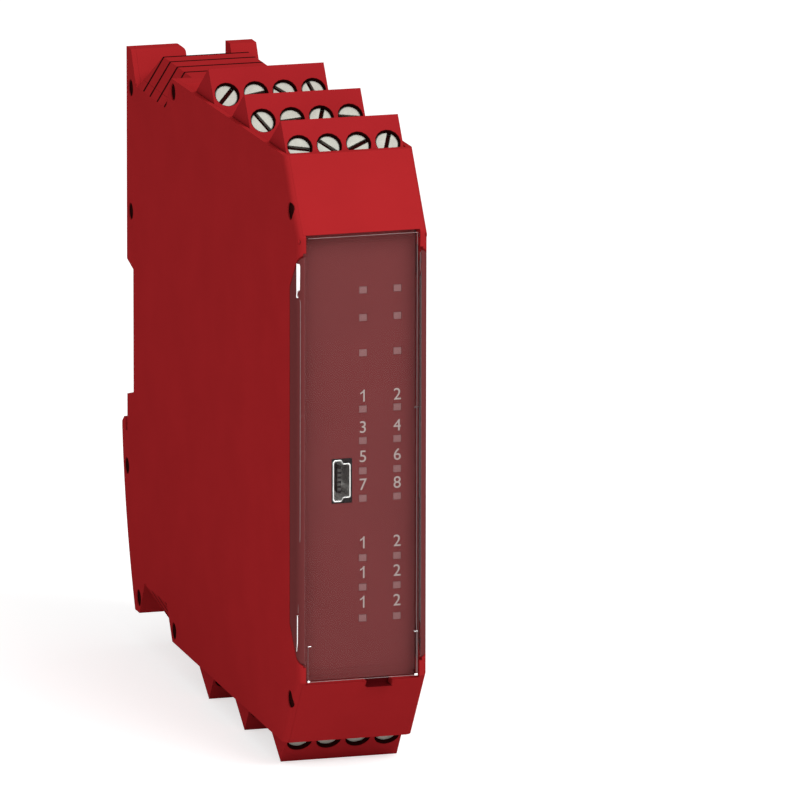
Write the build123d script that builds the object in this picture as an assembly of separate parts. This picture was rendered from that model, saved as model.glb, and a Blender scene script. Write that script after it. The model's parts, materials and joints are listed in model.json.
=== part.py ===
from build123d import *
import math
import os

# Safety controller module for a 35 mm mounting rail
# Frame: origin at the middle of the rail seat, on the plane where the housing rests on the rail.
# +X is to the right seen from the front, +Y towards the rail, +Z up. All sizes are in millimetres.

# Housing
WIDTH = 22.5            # outside width, side to side
HEIGHT = 99.0           # housing height without the plugs
DEPTH = 107.5           # rail plane to front face
SIDE_WALL = 0.9         # side wall thickness
WEB = 1.2               # thickness of every wall that runs across the width
TOP_CLIMB = 0.8         # the top edge climbs by this from the louvres to the shoulder
BEVEL_DROP = 12.3       # height of the sloped shoulder above and below the front face
TILT = 35.0             # lean of the shoulders and of the plugs, in degrees from vertical
EDGE_ROUND = 1.2        # rounding along the front side edges
ROUND_SIDES = 16        # flat sides of a small round, to keep the facets few
FIT_GAP = 0.1           # gap between pieces that are assembled and stay put
SLIDE_GAP = 0.2         # gap around pieces that slide

# Rail seat and bus passage at the back
RAIL_HEIGHT = 35.0
RAIL_SHEET = 1.0        # thickness of the rail's flange
HOOK_LIP = 1.0          # how far a hook reaches over the rail's edge
HOOK_THICK = 1.2
HOOK_WIDTH = 3.0
HOOK_HEIGHT = 2.0       # back of a hook above the rail's edge
HOOK_ROOT = 4.4         # root of a hook above the rail's edge
LIFT_PLAY = 1.2         # free height below the rail that lets the module be lifted off
PASSAGE_HEIGHT = 24.0
PASSAGE_DEPTH = 4.1
PASSAGE_TAPER = 1.1     # each end of the passage leans in by this much
FOOT_REACH = 3.45       # how far the foot stands out behind the rail plane
FOOT_CHAMFER_Y = 1.4    # chamfer on the foot's hook
FOOT_CHAMFER_Z = 1.1
FOOT_EDGE = 1.0         # straight stretch below that chamfer
FOOT_TOE = 4.8          # distance of the foot's bottom corner in front of the rail plane
FOOT_BULGE = 1.3        # height of the foot's curved back over its chord

# Towers, valleys and louvres at the two back corners
TOWER_CAP = 2.85        # flat end of a tower, front to back
TOWER_LEAN = 3.45       # how far a tower's face comes forward down to the valley
VALLEY_DROP = 6.1       # depth of the valley below the top
VALLEY_FLOOR = 0.7
RIB_LEAN = 3.6          # how far the rib block's back face leans
TOWER_INNER_LEFT = -1.5
TOWER_INNER_RIGHT = 6.5
TOWER_ROUND = 0.9
CHAMFER_WIDTH = 3.65    # corner chamfer beside the louvres
CHAMFER_DROP = 5.9
LOUVRE_END = 28.95      # front end of the chamfered zone, at the top
LOUVRE_END_LEAN = 3.55  # that end leans forward by this over the chamfer's height
LOUVRE_PITCH = 4.6
UPPER_LOUVRES = 3
LOWER_LOUVRES = 2
LOUVRE_SLOT = 0.55
LOUVRE_GROOVE = 0.6     # depth of a louvre line on the chamfers

# Terminal plugs
POLES = 4
POLE_PITCH = 5.08
ROWS = 3
ROW_PITCH = 22.3        # spacing of the plug rows, front to back
TIP_RISE = 5.5          # plug corner above the housing's top at the back
FACE_SETBACK = 2.0      # screw face behind the shoulder's outer face
PLUG_THICK = 15.0       # plug, across its screw face
PLUG_BODY = 9.5         # plug length that stays outside the header
NOSE_LENGTH = 8.7       # plug length inside the header
NOSE_START = 3.4        # nose position across the plug
NOSE_THICK = 8.2
SCREW_POS = 4.9         # screw axis from the plug's corner, along the screw face
SCREW_HOLE = 4.4
SCREW_HEAD = 4.0
SCREW_SUNK = 0.7        # head below the screw face
HEAD_THICK = 1.5
SHANK = 2.6
SHANK_SIDES = 6
SLOT_WIDTH = 0.7
SLOT_DEPTH = 0.8
WIRE_HOLE = 3.4         # side of the square wire entry
CAGE_TOP = 5.6          # clamp cage position below the screw face
CAGE_WIDTH = 3.8
CAGE_THICK = 5.2
CAGE_LENGTH = 6.0
CAGE_WALL = 0.8
CAGE_START = 2.2        # cage position below the wire face
NOSE_GAP = 0.3          # play between a nose and its header
HEADER_WALL = 1.0
HEADER_FLOOR = 1.0
PIN_SIZE = 1.0
PIN_REACH = 7.0         # how far a pin stands in the plug
CONTACT_SHEET = 0.4
# Slot angle of each screw, from left to right, for each row from the front to the back
TOP_SLOTS = [[-4, -42, 32, 80], [-48, 18, 86, -75], [56, -12, -38, -68]]
BOTTOM_SLOTS = [[20, -15, 8, -30], [65, 40, -55, 12], [-25, 75, 30, -60]]

# Front: cheeks, label panel, cover
CHEEK_HEIGHT = 35.2     # the side walls reach the front face above this height
NOTCH_HEIGHT = 28.8     # below this height the wall's front edge is fully set back
NOTCH_DEPTH = 5.2
CHEEK_THICK = 1.4
COVER_HALF = 38.0
COVER_SHEET = 1.1
SKIRT_SHEET = 1.1
COVER_GAP = 0.25        # gap all round the cover
HINGE_BACK = 0.8        # hinge axis behind the front face
HINGE_DOWN = 0.7        # hinge axis below the cover's top edge
HUB_THICK = 1.6
HUB_HEIGHT = 1.4
HUB_ROUND = 0.5
HINGE_PIN = 0.5         # radius
HINGE_PIN_LENGTH = 1.0
HINGE_PLAY = 0.05
CLIP_HALF = 7.75        # clip legs inside the skirts
CLIP_SHEET = 0.4
CLIP_BACK = 7.2         # their rear ends behind the front face
LIP_HEIGHT = 5.0        # raised rim around the cover's lower end
LIP_SHEET = 0.8
LABEL_BACK = 3.3        # label's rear face behind the front face
LABEL_SHEET = 1.0
LABEL_HALF = 36.4
LABEL_SIDE = 9.7
LEDGE = 1.1             # label overlap on its ledge
NOTCH_LEFT = 0.75       # opener's notch under the cover
NOTCH_RIGHT = 5.25
NOTCH_RISE = 1.1
NOTCH_WALL = 0.5

# Indicators and service socket
WINDOW_WIDTH = 1.4
WINDOW_HEIGHT = 1.25
WINDOW_X = [0.65, 6.6]
WINDOW_Z = [28.1, 23.4, 17.4, 7.8, 2.4, -2.75, -7.45, -17.65, -22.7, -28.0]
LIGHT_GAP = 0.05
LED_THICK = 0.8
SOCKET_X = -3.0
SOCKET_Z = -4.25
SOCKET_WIDTH = 3.1
SOCKET_HEIGHT = 7.2
SOCKET_DEPTH = 8.5
SOCKET_SHEET = 0.3
SOCKET_MARGIN = 0.25

# Boards
BOARD_SHEET = 1.6
BOARD_HALF = 29.4
BOARD_LEFT_X = -5.4     # mid plane of the left board
BOARD_RIGHT_X = 5.1
FRONT_BOARD_GAP = 1.5   # front board behind the label ledge
FRONT_BOARD_SHEET = 1.5
FRONT_BOARD_HALF = 30.5
FRONT_BOARD_SIDE = 9.2

# Parts on the boards: y, z, length along y, height along z, thickness
LOGIC_CHIPS = [(-75.0, 13.0, 14.0, 14.0, 1.4), (-75.0, -13.0, 14.0, 14.0, 1.4),
               (-51.5, 2.5, 7.0, 13.0, 1.5)]
DRIVER_CHIPS = [(-86.0 + 12.0 * i, 0.0, 8.0, 10.0, 1.7) for i in range(4)]
TRANSFORMER = (-20.0, 15.0, 12.0, 14.0, 7.0)
BOARD_LINK = (-37.5, 0.0, 5.0, 28.0)
CAN_PLACES = [(-60.0, 20.0), (-72.0, 20.0), (-60.0, -20.0)]
CAN_RADIUS = 4.0
CAN_HEIGHT = 7.0

BUS_HALF = 9.4
BUS_DEPTH = 7.0
BUS_CONTACTS = 5
BUS_PITCH = 3.5

# Rail catch at the bottom of the back
CATCH_HALF = 7.1
CATCH_FRONT = 6.9       # catch's front face in front of the rail plane
CATCH_LIP = 1.35
CATCH_HEAD = 6.9        # height of the catch's head
CATCH_LEG = 2.4
CATCH_TAIL = 49.2       # bottom end below the origin
PULL_SLOT_HALF = 2.5
PULL_SLOT_HEIGHT = 1.7
PULL_SLOT_EDGE = 1.2    # material below the slot
SPRING_RADIUS = 1.5
SPRING_WIRE = 0.5
SPRING_LENGTH = 8.5
SPRING_TURNS = 5
SHELF = 1.2             # thickness of the spring's shelf
SHELF_BACK = 0.6
GUIDE_END = -45.5       # lower end of the catch's guides
CATCH_CLEAR = 0.1       # catch below the rail's edge
CATCH_LIP_RISE = 1.6    # height of the catch's lip
CATCH_LIP_FLAT = 0.4
CATCH_TAPER = 0.5       # the head's back leans in by this much

# Side wall holes: distance in front of the rail plane and height
HOLE_RADIUS = 1.5
BOSS_RADIUS = 2.2
BOSS_LENGTH = 3.0
HOLE_DEPTH = 1.5
SIDE_HOLES = [(2.75, 42.7), (2.6, 20.9), (30.1, 47.4), (102.7, 41.7),
              (-0.35, -25.0), (7.2, -46.9), (30.1, -47.4), (102.7, -41.7)]

# Values worked out from the sizes above
SIDE = WIDTH / 2
INNER = SIDE - SIDE_WALL
TOP = HEIGHT / 2
SIN = math.sin(math.radians(TILT))
COS = math.cos(math.radians(TILT))
BEVEL_RUN = BEVEL_DROP * SIN / COS
SHOULDER_Z = TOP + TOP_CLIMB
FRONT_TOP = SHOULDER_Z - BEVEL_DROP
TIP_Z = TOP + TIP_RISE
FRONT_TIP_Y = -DEPTH + BEVEL_RUN + (FACE_SETBACK + (TIP_Z - SHOULDER_Z) * SIN) / COS
ROW_STEP = ROW_PITCH * COS
PLUG_HALF = POLES * POLE_PITCH / 2
POLE_X = [(i - (POLES - 1) / 2) * POLE_PITCH for i in range(POLES)]
BAY_FLOOR = PLUG_BODY + 0.3
BAY_REAR = PLUG_THICK + 0.4
HEADER_START = NOSE_START - NOSE_GAP - HEADER_WALL
HEADER_END = NOSE_START + NOSE_THICK + NOSE_GAP + HEADER_WALL
NOSE_END = PLUG_BODY + NOSE_LENGTH
HEADER_BOTTOM = NOSE_END + 2 * NOSE_GAP + HEADER_FLOOR
VALLEY_Z = TOP - VALLEY_DROP
FRAME_TOP = COVER_HALF + COVER_GAP + 0.1
SKIRT_BACK = -DEPTH + NOTCH_DEPTH - COVER_GAP
HINGE_Y = -DEPTH + HINGE_BACK
HINGE_Z = COVER_HALF - HINGE_DOWN
LEDGE_Y = -DEPTH + LABEL_BACK
RAIL_EDGE = RAIL_HEIGHT / 2
PASSAGE_END = PASSAGE_HEIGHT / 2
CEILING_Z = -RAIL_EDGE + 0.1
HEAD_LOW = -RAIL_EDGE - CATCH_CLEAR - CATCH_HEAD
SHELF_TOP = HEAD_LOW - SPRING_LENGTH
CHANNEL_Y = -CATCH_FRONT - SLIDE_GAP - 0.3
CHANNEL_HALF = CATCH_HALF + SLIDE_GAP
TOE_Y = -FOOT_TOE
LOWER_CAP_Y = TOE_Y - TOWER_CAP
LOWER_FACE_Y = LOWER_CAP_Y - TOWER_LEAN
UPPER_FACE_Y = -TOWER_CAP - TOWER_LEAN
FRONT_BOARD_BACK = LEDGE_Y + WEB + FRONT_BOARD_GAP + FRONT_BOARD_SHEET
BUS_LEFT = BOARD_LEFT_X + BOARD_SHEET / 2
BUS_RIGHT = BOARD_RIGHT_X - BOARD_SHEET / 2
PIN_A = NOSE_START + NOSE_THICK / 2
TAB_B = HEADER_BOTTOM + 0.3
BEYOND = 5.0            # how far a cutting solid runs past what it cuts


def slab(points, x0, x1):
    """Solid with an outline of (y, z) points, between two heights of x."""
    face = make_face(Plane.YZ.offset(x0) * Polyline(*points, close=True))
    return extrude(face, amount=x1 - x0, dir=(1, 0, 0))


def slab_xz(points, y0, y1):
    """Solid with an outline of (x, z) points, between two places in y."""
    face = make_face(Plane.XZ.offset(-y0) * Polyline(*points, close=True))
    return extrude(face, amount=y1 - y0, dir=(0, 1, 0))


def block(x0, x1, y0, y1, z0, z1):
    middle = ((x0 + x1) / 2, (y0 + y1) / 2, (z0 + z1) / 2)
    return Pos(*middle) * Box(x1 - x0, y1 - y0, z1 - z0)


def small_round(radius, length):
    """Many-sided rod on the working plane, for screws, holes, bosses and cans."""
    return extrude(RegularPolygon(radius, ROUND_SIDES), length)


def plug_point(a, b, tip_y=0.0):
    """(y, z) of a place a mm behind a plug's screw face and b mm below its upper corner."""
    return (tip_y + a * COS - b * SIN, TIP_Z - a * SIN - b * COS)


def plug_block(a0, a1, b0, b1, x0, x1, tip_y=0.0):
    corners = [(a0, b0), (a1, b0), (a1, b1), (a0, b1)]
    return slab([plug_point(a, b, tip_y) for a, b in corners], x0, x1)


def screw_axis(a, x, tip_y):
    """Plane at a screw's axis, a mm behind the screw face, looking into the plug."""
    y, z = plug_point(a, SCREW_POS, tip_y)
    return Plane(origin=(x, y, z), x_dir=(1, 0, 0), z_dir=(0, COS, -SIN))


def screw_hole(x, tip_y):
    return screw_axis(-1.0, x, tip_y) * small_round(SCREW_HOLE / 2, CAGE_TOP + 1.5)


def row_tip(row):
    """y of a plug's upper corner. Row 0 is the front one."""
    return FRONT_TIP_Y + row * ROW_PITCH


def flip(shape):
    """The same thing at the bottom of the module."""
    return mirror(shape, about=Plane.XY)


def bay_outline():
    """Stepped line of the terminal bays from the flat top at the back to the shoulder."""
    points = []
    for row in reversed(range(ROWS)):
        tip = row_tip(row)
        if row == ROWS - 1:
            top_b = (TIP_Z - TOP - BAY_REAR * SIN) / COS
            points.append(plug_point(BAY_REAR, top_b, tip))
        points.append(plug_point(BAY_REAR, BAY_FLOOR, tip))
        if row > 0:
            points.append(plug_point(BAY_REAR - ROW_STEP, BAY_FLOOR, tip))
    shoulder_a = WEB - FACE_SETBACK
    points.append(plug_point(shoulder_a, BAY_FLOOR, row_tip(0)))
    points.append(plug_point(shoulder_a, (TIP_Z - SHOULDER_Z - shoulder_a * SIN) / COS, row_tip(0)))
    points.append((-DEPTH + BEVEL_RUN, SHOULDER_Z))
    points.append((-DEPTH + (FRAME_TOP - FRONT_TOP) * SIN / COS, FRAME_TOP))
    points.append((LEDGE_Y, FRAME_TOP))
    return points


def walk(point, way, along, across=0.0):
    """Place reached from a point, so far along a direction and so far to its left."""
    return (point[0] + way[0] * along - way[1] * across, point[1] + way[1] * along + way[0] * across)


def wall_strips(points):
    """Outlines of the walls inside a closed line of points that runs with its inside on the left."""
    ends = points[1:] + points[:1]
    ways = []
    for (y0, z0), (y1, z1) in zip(points, ends):
        length = math.dist((y0, z0), (y1, z1))
        ways.append(((y1 - y0) / length, (z1 - z0) / length))
    reaches = []
    for (a, b), (c, d) in zip(ways[-1:] + ways, ways):
        turn = abs(math.atan2(a * d - b * c, a * c + b * d))
        reaches.append(WEB * math.tan(turn / 2))
    strips = []
    for start, end, way, before, after in zip(points, ends, ways, reaches, reaches[1:] + reaches[:1]):
        strips.append([walk(start, way, -before), walk(end, way, after),
                       walk(end, way, after, WEB), walk(start, way, -before, WEB)])
    return strips


def rim_solid():
    """The walls that run across the width, from the rail seat round to the label ledge."""
    upper_rib = UPPER_FACE_Y - VALLEY_FLOOR
    lower_rib = LOWER_FACE_Y - VALLEY_FLOOR
    upper = [(0, PASSAGE_END), (0, VALLEY_Z), (upper_rib, VALLEY_Z), (upper_rib - RIB_LEAN, TOP)]
    upper += bay_outline()
    lower = [(y, -z) for y, z in reversed(bay_outline())]
    lower += [(lower_rib - RIB_LEAN, -TOP), (lower_rib, -VALLEY_Z), (CHANNEL_Y, -VALLEY_Z)]
    lower += [(CHANNEL_Y, CEILING_Z), (0, CEILING_Z), (0, -PASSAGE_END)]
    floor_z = PASSAGE_END - PASSAGE_TAPER
    passage = [(-PASSAGE_DEPTH, -floor_z), (-PASSAGE_DEPTH, floor_z)]
    points = upper + lower + passage
    walls = Part() + [slab(strip, -INNER, INNER) for strip in wall_strips(points)]
    return walls & slab(points, -INNER, INNER)


def wall_face():
    """Outline of a side wall, with the foot, the rail slot and the cover's notch."""
    floor_z = PASSAGE_END - PASSAGE_TAPER
    hook_y = RAIL_SHEET + SLIDE_GAP
    slot_z = -RAIL_EDGE - LIFT_PLAY
    lip_z = -RAIL_EDGE + HOOK_LIP
    chamfer_z = lip_z - FOOT_CHAMFER_Z
    foot_top = (FOOT_REACH, chamfer_z - FOOT_EDGE)
    toe = (TOE_Y, -TOP)
    chord = (toe[0] - foot_top[0], toe[1] - foot_top[1])
    length = math.hypot(*chord)
    bulge = (-chord[1] / length * FOOT_BULGE, chord[0] / length * FOOT_BULGE)
    middle = ((foot_top[0] + toe[0]) / 2 + bulge[0], (foot_top[1] + toe[1]) / 2 + bulge[1])
    front = [(0, PASSAGE_END), (0, TOP), (-LOUVRE_END, TOP), (-DEPTH + BEVEL_RUN, SHOULDER_Z),
             (-DEPTH, FRONT_TOP),
             (-DEPTH, CHEEK_HEIGHT), (-DEPTH + NOTCH_DEPTH, NOTCH_HEIGHT),
             (-DEPTH + NOTCH_DEPTH, -NOTCH_HEIGHT), (-DEPTH, -CHEEK_HEIGHT),
             (-DEPTH, -FRONT_TOP), (-DEPTH + BEVEL_RUN, -SHOULDER_Z), (-LOUVRE_END, -TOP), toe]
    back = [foot_top, (FOOT_REACH, chamfer_z), (FOOT_REACH - FOOT_CHAMFER_Y, lip_z),
            (hook_y, lip_z), (hook_y, slot_z), (0, slot_z), (0, -PASSAGE_END),
            (-PASSAGE_DEPTH, -floor_z), (-PASSAGE_DEPTH, floor_z), (0, PASSAGE_END)]
    arc = ThreePointArc(toe, middle, foot_top)
    edges = Polyline(*front).edges() + [arc.edge()] + Polyline(*back).edges()
    return make_face(edges)


def side_plate(x0, x1):
    return extrude(Plane.YZ.offset(x0) * wall_face(), amount=x1 - x0)


def front_envelope():
    """Big block whose front and shoulder side edges are rounded."""
    reach = 20.5
    high = SHOULDER_Z + reach
    run = (BEVEL_DROP + reach) * SIN / COS
    points = [(30, high), (-DEPTH + run, high), (-DEPTH, FRONT_TOP),
              (-DEPTH, -FRONT_TOP), (-DEPTH + run, -high), (30, -high)]
    body = slab(points, -SIDE, SIDE)
    edges = [e for e in body.edges() if abs(abs(e.center().X) - SIDE) < 0.01
             and e.center().Y < -DEPTH + run * 0.75 and abs(e.center().Z) < high - 1]
    return fillet(edges, EDGE_ROUND)


def tower_outline(cap_y, back_y):
    """Tower at the top: flat end, leaning face and foot below the valley."""
    base = VALLEY_Z - 2 * WEB
    return [(back_y, base), (back_y, TOP), (cap_y, TOP), (cap_y - TOWER_LEAN, VALLEY_Z),
            (cap_y - TOWER_LEAN, base)]


def valley_cutter(cap_y):
    """Wedge between a tower's face and the first rib."""
    face_y = cap_y - TOWER_LEAN
    rib_y = face_y - VALLEY_FLOOR
    past = BEYOND / VALLEY_DROP
    points = [(face_y, VALLEY_Z), (cap_y + past * TOWER_LEAN, TOP + BEYOND),
              (rib_y - RIB_LEAN * (1 + past), TOP + BEYOND), (rib_y, VALLEY_Z)]
    return slab(points, -SIDE - BEYOND, SIDE + BEYOND)


def chamfer_cutter(back_y):
    """Cuts both corners beside the louvres down to a sloping plane."""
    slope = CHAMFER_WIDTH / CHAMFER_DROP
    low = TOP - CHAMFER_DROP
    points = [(SIDE - CHAMFER_WIDTH - slope * BEYOND, TOP + BEYOND), (SIDE + BEYOND, TOP + BEYOND),
              (SIDE + BEYOND, low - BEYOND / slope), (SIDE, low)]
    right = slab_xz(points, -LOUVRE_END - BEYOND, back_y) & louvre_zone(back_y)
    return right + mirror(right, about=Plane.YZ)


def louvre_zone(back_y):
    """Side outline of the chamfered zone, with its sloping front end."""
    rate = LOUVRE_END_LEAN / CHAMFER_DROP
    high = TOP + BEYOND
    points = [(back_y, 0), (back_y, high), (-LOUVRE_END - BEYOND * rate, high),
              (-LOUVRE_END + LOUVRE_END_LEAN, TOP - CHAMFER_DROP), (-LOUVRE_END + LOUVRE_END_LEAN, 0)]
    return slab(points, 0, SIDE + BEYOND)


def corner_fill(back_y):
    """Material under the chamfers, so that they close the housing."""
    slope = CHAMFER_WIDTH / CHAMFER_DROP
    thick = WEB * math.hypot(1, slope)
    low = TOP - CHAMFER_DROP - thick / slope
    top_x = INNER - (TOP - WEB - low) * slope
    points = [(INNER, low), (INNER, TOP), (top_x, TOP), (top_x, TOP - WEB)]
    right = slab_xz(points, -LOUVRE_END - WEB, back_y)
    return right + mirror(right, about=Plane.YZ)


def louvre_cuts(first_y, count):
    """Vent slots through the flat, with shallow lines on down the chamfers."""
    flat_half = SIDE - CHAMFER_WIDTH - WEB
    slope_angle = math.degrees(math.atan2(CHAMFER_DROP, CHAMFER_WIDTH))
    slope_length = math.hypot(CHAMFER_DROP, CHAMFER_WIDTH)
    middle_x = SIDE - CHAMFER_WIDTH / 2
    middle_z = TOP - CHAMFER_DROP / 2
    cuts = []
    for i in range(count):
        y = first_y - i * LOUVRE_PITCH
        cuts.append(block(-flat_half, flat_half, y - LOUVRE_SLOT / 2, y + LOUVRE_SLOT / 2,
                          TOP - WEB - BEYOND, TOP + BEYOND))
        cuts.append(block(-SIDE, SIDE, y - LOUVRE_SLOT / 2, y + LOUVRE_SLOT / 2,
                          TOP - LOUVRE_GROOVE, TOP + BEYOND))
        line = Box(slope_length, LOUVRE_SLOT, 2 * LOUVRE_GROOVE)
        right = Pos(middle_x, y, middle_z) * Rot(0, slope_angle, 0) * line
        cuts.append(right)
        cuts.append(mirror(right, about=Plane.YZ))
    return cuts


def back_corner(cap_y, back_y, louvres):
    """Pieces added and cut at a back corner, drawn at the top: (added, cut)."""
    rib_y = cap_y - TOWER_LEAN - VALLEY_FLOOR
    left = slab(tower_outline(cap_y, back_y), -INNER, TOWER_INNER_LEFT)
    top_edge = [e for e in left.edges().filter_by(Axis.Y) if e.center().X > TOWER_INNER_LEFT - 0.01
                and e.center().Z > TOP - 0.01]
    left = fillet(top_edge, TOWER_ROUND)
    right = slab(tower_outline(cap_y, back_y), TOWER_INNER_RIGHT, INNER)
    added = [left, right, corner_fill(rib_y - RIB_LEAN * 0.4)]
    cut = [valley_cutter(cap_y), chamfer_cutter(cap_y - TOWER_LEAN + 0.4)]
    cut += louvre_cuts(rib_y - RIB_LEAN - LOUVRE_PITCH, louvres)
    return added, cut


def cut_all(body, tools):
    for tool in tools:
        body = body - tool
    return body


def corner_tools():
    upper = back_corner(-TOWER_CAP, 0.0, UPPER_LOUVRES)
    lower = back_corner(LOWER_CAP_Y, CHANNEL_Y, LOWER_LOUVRES)
    added = upper[0] + [flip(s) for s in lower[0]]
    cut = upper[1] + [flip(s) for s in lower[1]]
    return added, cut


def foot_ears():
    """Solid ears on both sides of the catch, with the wall's own outline."""
    zone = block(-SIDE - BEYOND, SIDE + BEYOND, LOWER_FACE_Y + WEB, FOOT_REACH + BEYOND,
                 -TOP - BEYOND, CEILING_Z + WEB)
    left = side_plate(-INNER, -CHANNEL_HALF) & zone
    right = side_plate(CHANNEL_HALF, INNER) & zone
    return [left, right]


def catch_guides():
    """Flanges behind the catch's leg, and the shelf under its spring."""
    guide_y = -CATCH_FRONT + CATCH_LEG + SLIDE_GAP
    pieces = [block(x0, x0 + WEB, guide_y, guide_y + WEB, GUIDE_END, SHELF_TOP)
              for x0 in (-CHANNEL_HALF, CHANNEL_HALF - WEB)]
    shelf = block(-CHANNEL_HALF, CHANNEL_HALF, guide_y, SHELF_BACK, SHELF_TOP - SHELF, SHELF_TOP)
    return pieces + [shelf]


def upper_hooks():
    """Two fixed hooks over the rail's upper edge."""
    inside = RAIL_SHEET + SLIDE_GAP
    outside = inside + HOOK_THICK
    seat = RAIL_EDGE + FIT_GAP
    points = [(-WEB, seat), (inside, seat), (inside, RAIL_EDGE - HOOK_LIP),
              (outside, RAIL_EDGE - HOOK_LIP), (outside, RAIL_EDGE + HOOK_HEIGHT),
              (0, RAIL_EDGE + HOOK_ROOT), (-WEB, RAIL_EDGE + HOOK_ROOT)]
    return [slab(points, -CHANNEL_HALF, HOOK_WIDTH - CHANNEL_HALF),
            slab(points, CHANNEL_HALF - HOOK_WIDTH, CHANNEL_HALF)]


def side_bosses():
    """Bosses inside the left wall, behind its holes."""
    return [Plane(origin=(-INNER, -y, z), z_dir=(1, 0, 0)) * small_round(BOSS_RADIUS, BOSS_LENGTH)
            for y, z in SIDE_HOLES]


def boss_holes(depth):
    return [Plane(origin=(-SIDE, -y, z), z_dir=(1, 0, 0)) * small_round(HOLE_RADIUS, depth)
            for y, z in SIDE_HOLES]


def outer_limit():
    """Everything inside the side wall outline with its notches filled, to trim the bosses."""
    points = [(0, CEILING_Z), (0, TOP), (-LOUVRE_END, TOP), (-DEPTH + BEVEL_RUN, SHOULDER_Z),
              (-DEPTH, FRONT_TOP), (-DEPTH, -FRONT_TOP), (-DEPTH + BEVEL_RUN, -SHOULDER_Z),
              (-LOUVRE_END, -TOP), (TOE_Y, -TOP),
              (0, -TOP * 0.75), (FOOT_REACH - 1, -RAIL_EDGE - LIFT_PLAY - 1),
              (0, -RAIL_EDGE - LIFT_PLAY)]
    return slab(points, -SIDE, SIDE)


def cheek_pads(x0, x1):
    """Thicker wall ends beside the cover's hinge and its lower end."""
    low = CHEEK_HEIGHT + 0.2
    points = [(-DEPTH, low), (-DEPTH, FRAME_TOP), (LEDGE_Y, FRAME_TOP), (LEDGE_Y, low)]
    upper = slab(points, x0, x1)
    return [upper, flip(upper)]


def hinge_holes():
    radius = HINGE_PIN + HINGE_PLAY
    length = 2 * (SIDE - CHEEK_THICK + HINGE_PIN_LENGTH + 0.1)
    return Plane(origin=(0, HINGE_Y, HINGE_Z), z_dir=(1, 0, 0)) * Cylinder(radius, length)


def header_pocket(row):
    tip = row_tip(row)
    return plug_block(HEADER_START - SLIDE_GAP, HEADER_END + SLIDE_GAP, BAY_FLOOR - 2.0,
                      BAY_FLOOR + 3 * WEB, -INNER, INNER, tip)


def make_housing():
    """Right wall, all cross walls, hooks, towers and foot: one moulding."""
    added, cut = corner_tools()
    body = rim_solid() + side_plate(INNER, SIDE)
    for piece in added + foot_ears() + catch_guides() + upper_hooks():
        body = body + piece
    for boss in side_bosses():
        body = body + (boss & outer_limit())
    for pad in cheek_pads(SIDE - CHEEK_THICK, INNER):
        body = body + pad
    for row in range(ROWS):
        pocket = header_pocket(row)
        body = body - pocket - flip(pocket)
    window = LABEL_SIDE - LEDGE
    body = body - block(-window, window, LEDGE_Y - 1.0, LEDGE_Y + 3 * WEB,
                        -LABEL_HALF + LEDGE, LABEL_HALF - LEDGE)
    for side in (-1, 1):
        near, far = sorted([side * LABEL_SIDE, side * INNER])
        body = body - block(near, far, LEDGE_Y - 1.0, LEDGE_Y + WEB, -CHEEK_HEIGHT, CHEEK_HEIGHT)
    body = body - block(NOTCH_LEFT, NOTCH_RIGHT, -DEPTH - 1, LEDGE_Y - NOTCH_WALL,
                        -FRAME_TOP - NOTCH_RISE, -FRAME_TOP + BEYOND)
    bus_half = BUS_HALF + FIT_GAP
    body = body - block(BUS_LEFT - FIT_GAP, BUS_RIGHT + FIT_GAP, -PASSAGE_DEPTH - 2 * WEB,
                        -PASSAGE_DEPTH + 1.0, -bus_half, bus_half)
    body = cut_all(body, cut + boss_holes(SIDE_WALL + HOLE_DEPTH))
    body = body - hinge_holes()
    return body & front_envelope()


def make_side_cover():
    """Left wall: a flat plate with eight holes."""
    cut = corner_tools()[1]
    body = side_plate(-SIDE, -INNER)
    for pad in cheek_pads(-INNER, -SIDE + CHEEK_THICK):
        body = body + pad
    body = cut_all(body, cut + boss_holes(SIDE_WALL + FIT_GAP))
    body = body - hinge_holes()
    return body & front_envelope()


def cover_skirt():
    """Side outline of the cover, clear of the walls' sloped notches."""
    slope = (CHEEK_HEIGHT - NOTCH_HEIGHT) / NOTCH_DEPTH
    top = CHEEK_HEIGHT - COVER_GAP * math.hypot(1, slope)
    low = top - slope * (NOTCH_DEPTH - COVER_GAP)
    return [(-DEPTH, top), (SKIRT_BACK, low), (SKIRT_BACK, -low), (-DEPTH, -top)]


def cover_clip():
    """Leg on the right that grips the housing wall from inside."""
    outer = INNER - FIT_GAP
    leg = block(outer - CLIP_SHEET, SIDE - SKIRT_SHEET, -DEPTH, SKIRT_BACK, -CLIP_HALF, CLIP_HALF)
    tail = block(outer - CLIP_SHEET, outer, SKIRT_BACK - CLIP_SHEET, -DEPTH + CLIP_BACK,
                 -CLIP_HALF, CLIP_HALF)
    return leg + tail


def cover_lip(half):
    """Raised rim around the cover's lower end, on its inside."""
    back = -DEPTH + HUB_THICK
    rim = block(-half, half, -DEPTH, back, -COVER_HALF, -COVER_HALF + LIP_HEIGHT)
    return rim - block(LIP_SHEET - half, half - LIP_SHEET, -DEPTH + COVER_SHEET, back + 1,
                       -COVER_HALF + LIP_SHEET, -COVER_HALF + LIP_HEIGHT + 1)


def hinge_pins(half):
    """Short pins on both sides of the cover's hub."""
    tip = SIDE - CHEEK_THICK + HINGE_PIN_LENGTH
    rod = Plane(origin=(0, HINGE_Y, HINGE_Z), z_dir=(1, 0, 0)) * Cylinder(HINGE_PIN, 2 * tip)
    root = half - 1.0
    return rod - block(-root, root, -DEPTH, -DEPTH + HUB_THICK, HINGE_Z - 1, HINGE_Z + 1)


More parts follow.
